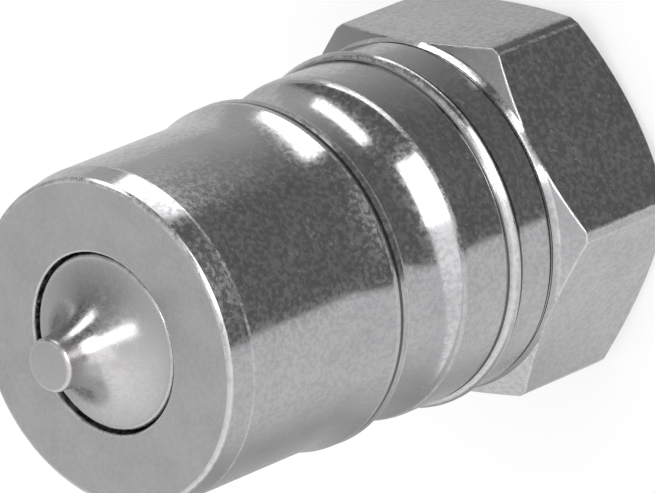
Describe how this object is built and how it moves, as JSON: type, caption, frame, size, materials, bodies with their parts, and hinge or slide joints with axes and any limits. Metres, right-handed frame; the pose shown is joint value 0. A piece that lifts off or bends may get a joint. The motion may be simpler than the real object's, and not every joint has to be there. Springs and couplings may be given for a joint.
{
  "type": "hydraulic quick coupler plug",
  "caption": "Male half of a poppet-valve hydraulic quick coupler: sealing nose, locking groove, wrench hexagon, sprung poppet and a threaded port.",
  "frame": {"origin": "centre of the port face, on the coupling axis; the part stands on this face", "axes": "+Z is the coupling axis, from the port face to the nose; -Y looks square at a hexagon flat and +X points at a hexagon corner"},
  "size_m": [0.0384, 0.0338, 0.064],
  "materials": {
    "plated_steel_body": "bright zinc plate over turned steel",
    "plated_steel_adapter": "bright zinc plate over drawn hexagon steel",
    "machined_steel": "fine turned steel",
    "guide_steel": "plain machined steel",
    "spring_steel": "drawn spring wire",
    "nitrile_rubber": "satin black",
    "backup_plastic": "natural white"
  },
  "bodies": {
    "plug_body": {"nose_body": "plated_steel_body", "hex_adapter": "plated_steel_adapter", "joint_o_ring": "nitrile_rubber", "joint_backup_ring": "backup_plastic", "valve_guide": "guide_steel", "guide_circlip": "spring_steel", "valve_spring": "spring_steel"},
    "valve": {"poppet": "machined_steel", "poppet_seal": "nitrile_rubber"}
  },
  "joints": [
    {"name": "poppet_slide", "type": "slide", "parent": "plug_body", "child": "valve", "axis": [0, 0, -1], "range_m": [0, 0.007], "stiffness_N_per_m": 2500, "springref_m": -0.006, "deforming": ["valve_spring"]}
  ]
}
